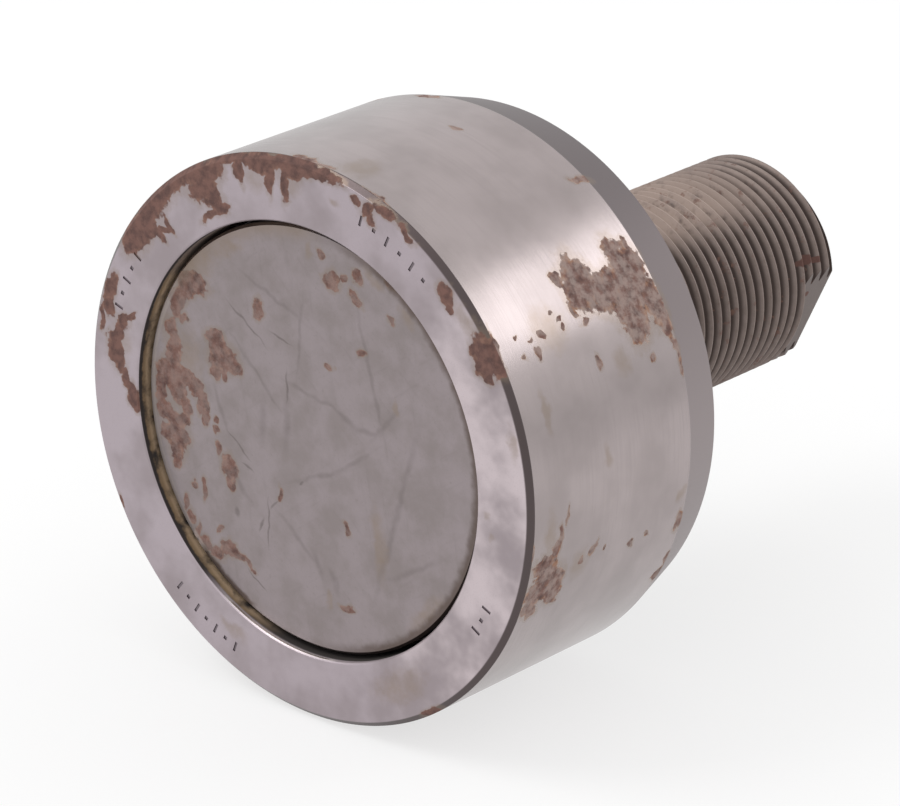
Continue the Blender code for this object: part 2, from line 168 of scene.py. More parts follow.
# Rust on the plain disc: x, z, half width, half height, turn
DISC_RUST = [
    (-16.6, 13.4, 1.6, 1.0, 0), (-17.6, 12.4, 1.0, 0.8, 0), (-18.8, 11.2, 0.9, 1.1, 0),
    (-19.2, 9.8, 0.6, 0.9, 0), (-18.0, 9.1, 0.5, 0.5, 0), (-19.9, 7.4, 0.7, 1.0, 0),
    (-19.4, 5.4, 0.9, 1.2, 0), (-19.9, 4.0, 0.8, 0.8, 0), (-20.2, 2.6, 2.0, 1.0, 0),
    (-21.7, 0.2, 0.6, 1.9, 0), (-20.3, 1.4, 1.0, 0.8, 0), (-19.0, 0.8, 1.1, 1.5, 0),
    (-17.9, -0.8, 0.5, 0.8, 0), (-17.6, 2.6, 0.9, 0.8, 0), (-16.4, 1.6, 0.8, 0.9, 0),
    (-15.5, 0.2, 0.6, 1.1, 0), (-15.0, -1.3, 0.35, 0.9, 0), (-21.0, -2.2, 1.0, 1.0, 0),
    (-19.4, -3.0, 1.2, 0.8, 0), (-18.2, -2.4, 0.6, 0.7, 0), (-19.6, -4.6, 1.6, 1.0, 0),
    (-19.4, -6.2, 1.0, 1.2, 0), (-19.3, -7.4, 0.6, 0.7, 0), (-13.4, 8.2, 1.0, 0.8, 0),
    (-13.2, 7.0, 1.0, 1.1, 0), (-12.3, 5.8, 1.7, 1.3, 0), (-10.5, 5.5, 0.9, 0.8, 0),
    (-13.5, 4.0, 0.55, 0.7, 0), (-12.1, 4.2, 0.4, 0.7, 0), (-7.3, 12.8, 0.7, 0.9, 0),
    (-13.7, -1.2, 0.3, 0.3, 0), (-13.6, -2.4, 0.35, 0.4, 0), (-13.2, -4.6, 0.35, 0.55, 0),
    (-11.8, -6.2, 0.8, 1.1, 0), (-11.6, -7.8, 0.45, 0.8, 0), (-17.0, -9.4, 0.35, 0.35, 0),
    (-15.3, -9.9, 0.4, 0.9, 0), (-18.3, -12.0, 0.35, 0.8, 0), (-17.5, -13.5, 0.35, 0.8, 0),
    (-16.6, -14.9, 0.45, 0.8, 0), (-15.4, -16.0, 0.8, 0.7, 0), (-13.8, -16.5, 1.0, 0.7, 0),
    (-11.9, -15.6, 0.8, 0.7, 0), (-10.4, -16.1, 0.8, 0.45, -25), (-9.1, -16.6, 0.6, 0.3, -25),
    (3.2, 18.4, 0.9, 0.8, 0), (4.7, 19.2, 0.5, 0.4, 0), (6.6, 19.7, 0.5, 0.6, 0),
    (6.5, 17.3, 0.9, 0.55, -42), (11.4, 16.1, 0.5, 0.3, -45), (11.4, 20.3, 0.7, 0.45, -42),
    (7.3, 11.7, 0.4, 0.4, 0), (2.8, 8.8, 0.4, 0.35, 0), (5.3, -17.5, 0.8, 0.35, 0),
    (5.2, -8.6, 0.3, 0.55, 25), (-4.4, -7.2, 0.3, 0.6, -15), (-13.3, -13.7, 0.3, 0.35, 0),
    (1.7, 21.0, 0.35, 0.35, 0),
]
DISC_STAINS = [
    (-20.6, 7.5, 0.9, 2.2, 0), (-16.0, 15.4, 3.0, 1.3, 30), (-11.5, 18.2, 2.4, 0.7, 25),
    (12.0, 6.8, 0.35, 1.0, 0), (0.0, 21.0, 0.4, 1.0, 0), (9.0, 20.0, 1.6, 0.6, -30),
    (-17.5, 4.5, 1.8, 3.0, 0), (9.6, -9.0, 0.8, 3.5, 8), (16.0, -15.0, 3.0, 0.8, 50),
    (2.6, -17.4, 0.35, 1.0, 0), (13.5, 17.0, 1.4, 0.6, -45),
]
# Scratches and faint lines on the disc: x and z of one end, of the other end, half width
DISC_SCRATCHES = [
    (-11.4, 12.4, -6.4, 9.2, 0.13), (-5.4, 10.6, -2.6, 10.1, 0.14), (-3.3, 6.8, -3.3, 3.2, 0.16),
    (-12.0, -1.8, -8.8, -4.5, 0.13), (-6.2, -8.4, -6.1, -13.8, 0.13), (-4.6, -7.9, -5.8, -9.3, 0.13),
    (-7.0, -10.7, -7.6, -12.3, 0.17), (-9.8, -5.0, -8.2, -5.9, 0.13), (-11.0, -10.6, -10.4, -11.4, 0.3),
    (-1.6, -5.0, -1.3, -5.2, 0.3), (-9.2, -17.2, -6.6, -19.0, 0.12),
]
DISC_LINES = [
    (-3.0, 5.7, 0.4, 4.9, 0.20), (0.4, 4.9, 3.2, 4.7, 0.20), (3.2, 4.7, 6.3, 3.0, 0.22),
    (6.3, 3.0, 9.3, 3.2, 0.20), (9.3, 3.2, 11.9, 6.0, 0.24), (-1.6, -4.9, 4.4, -2.3, 0.20),
    (4.4, -2.3, 7.7, 0.4, 0.22), (-3.3, 3.2, -3.5, -1.0, 0.35), (-6.5, 2.0, -6.9, -1.5, 0.35),
    (-13.6, 2.0, -12.0, -1.8, 0.20), (-4.0, -10.0, 0.2, -13.2, 0.22), (0.4, -12.5, 1.4, -14.8, 0.28),
    (2.8, -14.0, 3.6, -16.0, 0.30), (-10.0, 8.0, -5.0, 3.0, 0.18), (7.0, 15.0, 10.0, 4.0, 0.20),
    (-1.0, 14.0, -1.6, 8.0, 0.16), (14.0, 2.0, 10.0, -12.0, 0.30), (-8.5, 16.0, -2.0, 13.5, 0.18),
    (12.0, -12.0, 17.0, -9.0, 0.25), (-9.0, -9.0, -11.5, -6.5, 0.25),
]
# Rust on the running surface: angle, y, half size round it, half size along the axis, turn
TREAD_RUST = [
    (39.0, -17.2, 2.6, 1.9, 0), (41.0, -19.9, 0.8, 0.7, 0), (36.5, -18.6, 1.6, 1.4, 0),
    (35.3, -14.8, 2.0, 1.7, 0), (37.6, -13.3, 0.8, 0.9, 0), (40.3, -10.8, 2.2, 1.3, 0),
    (38.5, -9.0, 2.0, 1.3, 0), (34.5, -11.0, 2.6, 2.4, 0), (30.0, -12.2, 2.8, 1.7, 0),
    (26.7, -12.0, 1.3, 1.5, 0), (30.0, -8.6, 2.6, 1.2, 0), (25.6, -7.9, 1.5, 0.7, 0),
    (20.5, -7.6, 1.1, 0.35, 0), (16.8, -7.3, 0.9, 0.2, 0), (43.6, -10.8, 0.8, 0.45, 0),
    (42.3, -8.6, 0.8, 0.4, 0), (20.3, -11.3, 0.5, 0.4, 0), (23.4, -18.9, 0.6, 0.35, 0),
    (34.0, -19.9, 0.6, 0.25, 0), (31.8, -19.1, 0.35, 0.5, 0), (34.0, -22.5, 0.36, 0.3, 0),
    (32.3, -22.4, 0.24, 0.24, 0), (32.8, -25.7, 0.32, 0.3, 0), (32.6, -27.1, 0.22, 0.24, 0),
    (35.8, -23.4, 0.22, 0.22, 0), (34.6, -28.9, 0.25, 0.25, 0), (29.7, -29.0, 0.3, 0.3, 0),
    (29.6, -26.8, 0.5, 0.45, 0), (30.4, -27.2, 0.35, 0.25, 0), (58.0, -8.0, 0.4, 1.2, 20),
    (-1.9, -26.8, 1.0, 0.25, 0), (-5.5, -27.8, 1.2, 0.35, 0), (-8.5, -28.4, 1.0, 0.6, 0),
    (-10.5, -30.0, 0.9, 1.4, 0), (-13.5, -29.2, 1.3, 1.8, 0), (-15.2, -27.5, 1.1, 1.1, 0),
    (-17.5, -28.4, 1.1, 1.2, 0), (-18.8, -27.4, 1.1, 0.9, 0), (-17.0, -30.4, 1.4, 1.9, 0),
    (-20.0, -31.3, 0.9, 0.9, 0), (-21.0, -30.3, 0.8, 0.7, 0), (-15.2, -15.5, 0.45, 0.35, 0),
    (-14.9, -13.4, 0.25, 0.25, 0), (-13.3, -23.6, 0.45, 0.35, 0), (-11.8, -22.0, 0.8, 0.22, 15),
    (-13.4, -20.2, 0.25, 0.25, 0), (-15.3, -7.9, 1.0, 0.4, 0), (-25.4, -7.4, 1.1, 0.4, 0),
    (-29.4, -7.7, 1.0, 0.6, 0), (90.0, -31.9, 1.6, 0.6, 0), (86.5, -32.1, 1.8, 0.4, 0),
    (82.0, -14.0, 0.5, 0.3, 0), (72.0, -32.1, 1.6, 0.3, 0), (33.0, -32.1, 1.8, 0.3, 0),
    (-7.0, -32.2, 0.9, 0.2, 0), (130.0, -20.0, 2.5, 1.5, 20), (98.5, -7.9, 1.5, 0.3, 0),
    (114.0, -7.9, 1.3, 0.3, 0), (140.0, -12.0, 1.2, 2.0, 0), (205.0, -24.0, 2.0, 1.2, 30),
    (230.0, -14.0, 1.4, 2.2, 0), (250.0, -27.0, 2.4, 0.9, 0), (165.0, -28.0, 1.0, 1.6, 0),
    (-60.0, -12.0, 1.6, 1.0, 0),
]
TREAD_STAINS = [
    (19.0, -28.4, 2.0, 0.5, 0), (80.0, -29.5, 1.6, 2.2, 0), (-9.0, -8.4, 0.9, 0.6, 0),
    (33.0, -24.5, 2.0, 2.4, 0), (22.0, -15.8, 1.4, 1.0, 0), (6.0, -20.5, 1.4, 0.5, 0),
    (-14.0, -24.0, 1.6, 1.2, 0), (-6.0, -29.5, 3.0, 0.8, 0), (120.0, -24.0, 4.0, 2.0, 0),
    (215.0, -20.0, 4.0, 3.0, 0),
]
# Rust on the stud, with lengths round it as on the rim: angle, y, half size round it, half size along it,
# turn
THREAD_RUST = [
    (17.0, 37.6, 1.7, 1.2, 0), (14.8, 39.6, 1.2, 1.0, 0), (-6.8, 38.9, 1.2, 0.5, 0),
    (60, 9.0, 1.5, 0.8, 0), (150, 20.0, 5.0, 3.0, 0), (200, 30.0, 6.0, 4.0, 0),
    (250, 12.0, 5.0, 3.0, 0),
]
# Generic punch marks on the rim, which stand where the real one is stamped: first angle, step, radius, count
PUNCH_ROWS = [(72.5, -3.9, 27.8, 6), (147.5, 3.6, 27.8, 5), (229.5, 3.2, 28.1, 7), (329.5, 3.2, 27.6, 3)]

# Stretches of the recess wall and of the disc's edge: first and last angle, from 0 to 360
WALL_GREASE = (152.0, 243.0)
WALL_BROWN = (95.0, 150.0)
WALL_STEEL = (240.0, 330.0)
# Where the wall's front edge gets a painted highlight
WALL_PAINTED_HIGHLIGHT = (244.0, 276.0)
# Where the disc's edge gets a painted highlight
EDGE_PAINTED_LIGHT = (150.0, 226.0)
EDGE_BROWN = (228.0, 246.0)
EDGE_TAN = (95.0, 140.0)

# Colours: linear red, green and blue, and alpha
STEEL_RIM = (0.445, 0.385, 0.415, 1)
STEEL_RIM_DULL = (0.345, 0.295, 0.31, 1)
# Painted light: a lighter copy of the rim's steel for its right side
STEEL_RIM_PAINTED_LIGHT = (0.60, 0.52, 0.54, 1)
STEEL_TREAD = (0.405, 0.352, 0.35, 1)
STEEL_TREAD_DULL = (0.34, 0.295, 0.292, 1)
STEEL_TAPER = (0.155, 0.130, 0.133, 1)
# Painted light: a lighter copy of the taper's steel for its lower part
TAPER_PAINTED_LIGHT_LOW = (0.285, 0.242, 0.244, 1)
STEEL_DISC = (0.325, 0.28, 0.288, 1)
STEEL_DISC_DULL = (0.275, 0.237, 0.235, 1)
RUST_DARK = (0.100, 0.050, 0.043, 1)
RUST_MID = (0.190, 0.095, 0.076, 1)
RUST_LIGHT = (0.27, 0.145, 0.105, 1)
RUST_FRESH = (0.38, 0.19, 0.105, 1)
RUST_DUST = (0.50, 0.40, 0.36, 1)
STAIN_BROWN = (0.27, 0.205, 0.15, 1)
# Painted shade: near black for the recess wall and the head's side, in the gap between ring and disc
PAINTED_GAP_SHADE = (0.035, 0.028, 0.026, 1)
PUNCH_GREY = (0.20, 0.17, 0.185, 1)
BORE_GOLD = (0.26, 0.175, 0.10, 1)
BORE_SHADE = (0.20, 0.15, 0.125, 1)
# Painted highlight: near white for the recess wall's front edge
PAINTED_EDGE_HIGHLIGHT = (0.85, 0.79, 0.76, 1)
# Grease colour with painted light: lighter, for the grease deep in the gap
BORE_GREASE_PAINTED_LIGHT = (0.52, 0.37, 0.24, 1)
# Painted shade: near black for the outer front chamfer, in place of its dark reflection
CHAMFER_PAINTED_SHADE = (0.10, 0.080, 0.080, 1)
THREAD_CREST = (0.235, 0.185, 0.165, 1)
THREAD_ROOT = (0.060, 0.040, 0.034, 1)
THREAD_DIRT = (0.27, 0.215, 0.195, 1)
THREAD_DUST = (0.44, 0.345, 0.30, 1)
FLAT_GREY = (0.205, 0.172, 0.162, 1)
MARK_GREY = (0.11, 0.092, 0.085, 1)
# Painted highlight: pale for the disc's edge where it catches the light
DISC_EDGE_PAINTED_LIGHT = (0.40, 0.345, 0.32, 1)
# Dirt and painted shade: dark brown for the disc's edge, dirt at the lower left and shade on the right
DISC_EDGE_DIRT_AND_SHADE = (0.095, 0.065, 0.05, 1)
FLANGE_LIGHT = (0.20, 0.175, 0.165, 1)
FLANGE_DARK = (0.12, 0.10, 0.092, 1)
ZINC_LIGHT = (0.55, 0.51, 0.42, 1)
ZINC_DARK = (0.34, 0.30, 0.22, 1)
POLYAMIDE_LIGHT = (0.36, 0.23, 0.11, 1)
POLYAMIDE_DARK = (0.24, 0.15, 0.07, 1)
CAGE_LIGHT = (0.34, 0.33, 0.32, 1)
CAGE_DARK = (0.24, 0.22, 0.21, 1)
NEEDLE_LIGHT = (0.56, 0.56, 0.57, 1)
NEEDLE_DARK = (0.45, 0.44, 0.44, 1)
FLOOR_GREY = (0.8, 0.8, 0.8, 1)
WHITE = (1, 1, 1, 1)


class Nodes:
    """Short calls that add nodes to a tree."""

    def __init__(self, tree):
        self.tree = tree
        tree.nodes.clear()

    def add(self, kind, inputs=(), **settings):
        node = self.tree.nodes.new(kind)
        for key, value in settings.items():
            setattr(node, key, value)
        for key, value in dict(inputs).items():
            if isinstance(value, bpy.types.NodeSocket):
                self.tree.links.new(value, node.inputs[key])
            else:
                node.inputs[key].default_value = value
        return node

    def math(self, operation, *values):
        return self.add("ShaderNodeMath", dict(enumerate(values)), operation=operation).outputs[0]

    def times(self, first, second):
        return self.math("MULTIPLY", first, second)

    def vector(self, operation, *values):
        return self.add("ShaderNodeVectorMath", dict(enumerate(values)), operation=operation).outputs[0]

    def dot(self, first, second):
        inputs = {0: first, 1: second}
        return self.add("ShaderNodeVectorMath", inputs, operation="DOT_PRODUCT").outputs["Value"]

    def length(self, vector):
        return self.add("ShaderNodeVectorMath", {0: vector}, operation="LENGTH").outputs["Value"]

    def scaled(self, vector, factor):
        inputs = {0: vector, "Scale": factor}
        return self.add("ShaderNodeVectorMath", inputs, operation="SCALE").outputs["Vector"]

    def point(self, *values):
        return self.add("ShaderNodeCombineXYZ", dict(enumerate(values))).outputs[0]

    def smooth(self, value, low, high):
        """0 below low and 1 above high."""
        inputs = {"Value": value, "From Min": low, "From Max": high}
        return self.add("ShaderNodeMapRange", inputs, interpolation_type="SMOOTHSTEP").outputs["Result"]

    def band(self, value, low, high, soft):
        """1 between low and high, and 0 beyond soft past either."""
        return self.times(self.smooth(value, low - soft, low), self.less(value, high, high + soft))

    def less(self, value, low, high):
        """1 below low and 0 above high."""
        return self.math("SUBTRACT", 1.0, self.smooth(value, low, high))

    def range(self, value, low, high):
        """A share from 0 to 1 turned into a number from low to high."""
        inputs = {"Value": value, "To Min": low, "To Max": high}
        return self.add("ShaderNodeMapRange", inputs).outputs["Result"]

    def mix(self, share, first, second):
        node = self.add("ShaderNodeMix", {0: share, 6: first, 7: second}, data_type="RGBA")
        return node.outputs[2]

    def blend(self, share, first, second):
        """The same between two numbers."""
        return self.add("ShaderNodeMix", {0: share, 2: first, 3: second}, data_type="FLOAT").outputs[0]

    def seen(self):
        """Two shares: 1 for rays that meet a white studio (camera, glossy, glass), and 1 for glossy rays."""
        path = self.add("ShaderNodeLightPath")
        mirrored = self.math("MAXIMUM", path.outputs["Is Glossy Ray"], path.outputs["Is Transmission Ray"])
        return self.math("MAXIMUM", path.outputs["Is Camera Ray"], mirrored), path.outputs["Is Glossy Ray"]


class Surface(Nodes):
    """One material, with the places on the part in millimetres and degrees."""

    def __init__(self, name):
        self.material = bpy.data.materials.new(name)
        self.material.use_nodes = True
        super().__init__(self.material.node_tree)
        place = self.add("ShaderNodeTexCoord")
        self.place = self.scaled(place.outputs["Object"], 1 / MM)
        parts = self.add("ShaderNodeSeparateXYZ", {0: self.place})
        self.x, self.y, self.z = parts.outputs
        square = self.math("ADD", self.times(self.x, self.x), self.times(self.z, self.z))
        self.radius = self.math("SQRT", square)
        self.angle = self.math("DEGREES", self.math("ARCTAN2", self.z, self.x))
        # The same from the top, so that its seam is at the bottom
        self.from_top = self.math("ARCTAN2", self.times(self.x, -1.0), self.z)

    def full_angle(self):
        """The angle from 0 to 360, with its seam on the right."""
        return self.math("MODULO", self.math("ADD", self.angle, 360.0), 360.0)

    def inside(self, start, end):
        """0 nearer than start to the plane of the front rim and 1 further in than end."""
        return self.smooth(self.y, RING_FRONT + start, RING_FRONT + end)

    def outside(self, start, end):
        """The opposite of inside."""
        return self.less(self.y, RING_FRONT + start, RING_FRONT + end)

    def noise(self, scale, detail=3.0, roughness=0.55, vector=None, stretch=None):
        vector = vector or self.place
        if stretch:
            vector = self.vector("MULTIPLY", vector, stretch)
        inputs = {"Vector": vector, "Scale": scale, "Detail": detail, "Roughness": roughness}
        return self.add("ShaderNodeTexNoise", inputs).outputs["Fac"]

    def ragged(self, plane, coarse=0.9, fine=0.2):
        """The plane's coordinates, shaken so that a round spot gets a corroded outline."""
        for size, scale in ((coarse, 0.5), (fine, 1.9)):
            inputs = {"Vector": self.place, "Scale": scale, "Detail": 1.5, "Roughness": 0.5}
            colour = self.add("ShaderNodeTexNoise", inputs).outputs["Color"]
            shake = self.vector("SUBTRACT", colour, (0.5, 0.5, 0.5))
            shake = self.vector("MULTIPLY", self.scaled(shake, 2 * size), (1, 1, 0))
            plane = self.vector("ADD", plane, shake)
        return plane

    def spots(self, plane, rows):
        """How far a point is from the nearest ellipse of the rows: 0 at its middle and 1 at its edge."""
        nearest = None
        for across, up, half_width, half_height, turn in rows:
            if turn:
                away = self.vector("SUBTRACT", plane, (across, up, 0))
                cosine, sine = math.cos(math.radians(turn)), math.sin(math.radians(turn))
                along = self.dot(away, (cosine / half_width, sine / half_width, 0))
                beside = self.dot(away, (-sine / half_height, cosine / half_height, 0))
                spot = self.point(along, beside, 0.0)
            else:
                shift = (-across / half_width, -up / half_height, 0)
                spot = self.vector("MULTIPLY_ADD", plane, (1 / half_width, 1 / half_height, 0), shift)
            length = self.length(spot)
            nearest = length if nearest is None else self.math("SMOOTH_MIN", nearest, length, 0.35)
        return nearest

    def lines(self, plane, rows):
        """The same for thin lines, each given by its two ends and its half width."""
        made = []
        for first_x, first_z, last_x, last_z, half_width in rows:
            across, up = last_x - first_x, last_z - first_z
            half_length = math.hypot(across, up) / 2
            turn = math.degrees(math.atan2(up, across))
            middle_x, middle_z = (first_x + last_x) / 2, (first_z + last_z) / 2
            made.append((middle_x, middle_z, half_length, half_width, turn))
        return self.spots(plane, made)

    def rust_colour(self, edge, light=RUST_LIGHT, dust=0.0):
        """Brown rust, redder towards its edge, which is 1 at the outline, with a share of pale dust on it."""
        mottled = self.mix(self.smooth(self.noise(1.0, 4), 0.3, 0.65), RUST_DARK, RUST_MID)
        patchy = self.smooth(self.noise(1.1, 3), 0.4, 0.65)
        colour = self.mix(self.times(self.times(edge, patchy), 0.8), mottled, light)
        if not dust:
            return colour
        flecks = self.times(self.smooth(self.noise(0.8, 5, 0.65), 0.35, 0.62), 2 * dust)
        return self.mix(flecks, colour, RUST_DUST)

    def finish(self, colour, roughness, metallic, height, strength=0.4):
        """The shader, with the height as fine relief."""
        relief = {"Height": height, "Strength": strength, "Distance": BUMP_DISTANCE}
        bump = self.add("ShaderNodeBump", relief).outputs["Normal"]
        inputs = {"Base Color": colour, "Roughness": roughness, "Metallic": metallic, "Normal": bump}
        shader = self.add("ShaderNodeBsdfPrincipled", inputs)
        self.add("ShaderNodeOutputMaterial", {"Surface": shader.outputs[0]})
        return self.material


def unrolled(g, second):
    """The surface unrolled from the top of the part: length round the rim, and the second coordinate."""
    return g.point(g.times(g.from_top, RING_RADIUS), second, 0.0)


def unrolled_rows(rows):
    """Spots given by angle, as spots on the unrolled surface."""
    made = []
    for angle, second, around, across, turn in rows:
        from_top = (angle - 90 + 180) % 360 - 180
        made.append((math.radians(from_top) * RING_RADIUS, second, around, across, turn))
    return made


def worn(g, plane, rust_rows, stain_rows, spread=1.1):
    """(rust, rust's edge, stain) shares on a surface, from the listed spots."""
    shaken = g.ragged(plane)
    grain = g.noise(1.7, 2, 0.5)
    loose = g.times(g.math("SUBTRACT", grain, 0.5), 0.75)
    distance = g.math("ADD", g.math("DIVIDE", g.spots(shaken, rust_rows), spread), loose)
    rust = g.less(distance, 0.93, 1.12)
    edge = g.smooth(distance, 0.6, 1.0)
    stained = g.less(g.math("ADD", g.spots(shaken, stain_rows), loose), 0.4, 1.6)
    stain = g.times(stained, g.range(g.noise(0.7, 4), 0.1, 1.3))
    halo = g.less(distance, 1.05, 1.7)
    stain = g.math("MAXIMUM", g.times(stain, 0.55), g.times(halo, 0.35))
    return rust, edge, stain


def rim_material():
    g = Surface("rim_steel")
    rust, edge, stain = worn(g, unrolled(g, g.radius), unrolled_rows(RIM_RUST), unrolled_rows(RIM_STAINS))
    cloudy = g.smooth(g.noise(0.16, 3), 0.35, 0.7)
    # Painted light: the rim face is painted lighter on its right side
    colour = g.mix(g.band(g.angle, -45.0, 30.0, 25.0), STEEL_RIM, STEEL_RIM_PAINTED_LIGHT)
    colour = g.mix(cloudy, colour, STEEL_RIM_DULL)
    fine = g.noise(5.0, 5, 0.7)
    colour = g.mix(g.times(g.smooth(fine, 0.5, 0.75), 0.35), colour, STEEL_RIM_DULL)
    # Painted shade: the outer front chamfer is painted near black, in place of its dark reflection
    chamfer_start = RING_RADIUS - FRONT_CHAMFER
    chamfer = g.smooth(g.radius, chamfer_start - 0.05, chamfer_start + 0.1)
    colour = g.mix(chamfer, colour, CHAMFER_PAINTED_SHADE)
    sunk = g.times(g.inside(0.01, 0.06), g.band(g.radius, 25.5, 29.8, 0.1))
    colour = g.mix(sunk, colour, PUNCH_GREY)
    colour = g.mix(stain, colour, STAIN_BROWN)
    colour = g.mix(rust, colour, g.rust_colour(edge))
    wall = g.times(g.less(g.radius, RECESS_RADIUS + 0.12, RECESS_RADIUS + 0.22), g.inside(0.12, 0.2))
    wall_colour, painted_highlight = recess_wall(g)
    colour = g.mix(wall, colour, wall_colour)
    dirty = g.math("MAXIMUM", rust, g.times(wall, g.math("SUBTRACT", 1.0, painted_highlight)))
    metallic = g.math("SUBTRACT", 1.0, dirty)
    roughness = g.blend(dirty, g.range(fine, 0.30, 0.44), 0.8)
    return g.finish(colour, roughness, metallic, fine, strength=g.range(rust, 0.05, 0.8))


def recess_wall(g):
    """The wall's colour and its painted highlight share.

    It is painted near black just inside the edge as painted shade in the gap, with golden grease on the left,
    painted lighter deeper in, brown at the upper left, dull steel at the bottom and a painted highlight at
    the lower left.
    """
    around = g.full_angle()
    uneven = g.math("ADD", g.y, g.range(g.noise(0.9, 3), -0.3, 0.3))
    deep = g.smooth(uneven, RING_FRONT + 0.5, RING_FRONT + 0.85)
    greasy = g.times(g.times(g.band(around, *WALL_GREASE, 18.0), deep), g.smooth(g.noise(0.45, 4), 0.3, 0.58))
    # Painted shade: the wall is painted near black for the shade in the narrow gap, and brown deeper in at
    # the upper left
    colour = g.mix(g.times(g.band(around, *WALL_BROWN, 15.0), deep), PAINTED_GAP_SHADE, BORE_SHADE)
    # Golden grease, painted lighter deeper in as painted light against the shade in the gap
    colour = g.mix(greasy, colour, g.mix(g.inside(0.8, 1.5), BORE_GOLD, BORE_GREASE_PAINTED_LIGHT))
    steel = g.times(g.band(around, *WALL_STEEL, 10.0), g.outside(0.5, 0.8))
    colour = g.mix(steel, colour, STEEL_RIM_DULL)
    # Painted highlight: the wall's front edge at the lower left is painted near white
    painted_highlight = g.times(g.band(around, *WALL_PAINTED_HIGHLIGHT, 5.0), g.outside(0.45, 0.6))
    return g.mix(painted_highlight, colour, PAINTED_EDGE_HIGHLIGHT), painted_highlight


def tread_material():
    g = Surface("tread_steel")
    rust, edge, stain = worn(g, unrolled(g, g.y), unrolled_rows(TREAD_RUST), unrolled_rows(TREAD_STAINS))
    ground = g.noise(1.0, 4, 0.6, stretch=(0.12, 5.0, 0.12))
    cloudy = g.smooth(g.noise(0.12, 3), 0.35, 0.7)
    colour = g.mix(cloudy, STEEL_TREAD, STEEL_TREAD_DULL)
    colour = g.mix(g.times(g.smooth(ground, 0.45, 0.7), 0.3), colour, STEEL_TREAD_DULL)
    taper_start = RING_REAR - TAPER_LENGTH
    taper = g.smooth(g.y, taper_start - 0.05, taper_start + 0.15)
    # Painted light and shade: the taper is painted darker towards the top and lighter towards the bottom
    colour = g.mix(taper, colour, g.mix(g.smooth(g.z, 8.0, 27.0), TAPER_PAINTED_LIGHT_LOW, STEEL_TAPER))
    # Painted shade: the front chamfer's edge on the running surface is painted near black as well
    front_edge = g.outside(FRONT_CHAMFER + 0.02, FRONT_CHAMFER + 0.12)
    colour = g.mix(front_edge, colour, CHAMFER_PAINTED_SHADE)
    colour = g.mix(stain, colour, STAIN_BROWN)
    off_taper = g.times(rust, g.less(g.y, taper_start + 0.1, taper_start + 0.4))
    colour = g.mix(off_taper, colour, g.rust_colour(edge, RUST_FRESH, 0.25))
    metallic = g.math("SUBTRACT", 1.0, off_taper)
    smooth_steel = g.blend(taper, g.range(ground, 0.16, 0.29), 0.42)
    roughness = g.blend(off_taper, smooth_steel, 0.8)
    height = g.math("ADD", ground, g.noise(5.0, 5, 0.7))
    return g.finish(colour, roughness, metallic, height, strength=g.range(off_taper, 0.06, 0.8))


def inner_material():
    g = Surface("raceway_steel")
    fine = g.noise(1.2, 4, 0.6, stretch=(0.2, 4.0, 0.2))
    colour = g.mix(fine, STEEL_TAPER, STEEL_TREAD_DULL)
    return g.finish(colour, g.range(fine, 0.3, 0.5), 1.0, fine)


